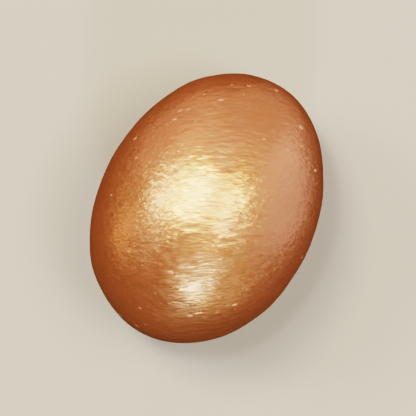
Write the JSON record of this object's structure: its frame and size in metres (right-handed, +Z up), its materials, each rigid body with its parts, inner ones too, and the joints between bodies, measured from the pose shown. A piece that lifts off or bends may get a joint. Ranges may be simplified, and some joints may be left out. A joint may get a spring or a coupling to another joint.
{
  "type": "chocolate easter egg",
  "caption": "Small solid chocolate egg with a satin gold and copper lustre coat, lying on its side on a small flat spot.",
  "frame": {"origin": "on the surface that the egg rests on, under the middle of its length and width", "axes": "+X along the egg towards its narrower end, +Z up"},
  "size_m": [0.032, 0.0246, 0.0243],
  "materials": {
    "lustre_coat": "satin pearl lustre, gold with copper and brown shading"
  },
  "bodies": {
    "root": {"chocolate_egg": "lustre_coat"}
  },
  "joints": []
}
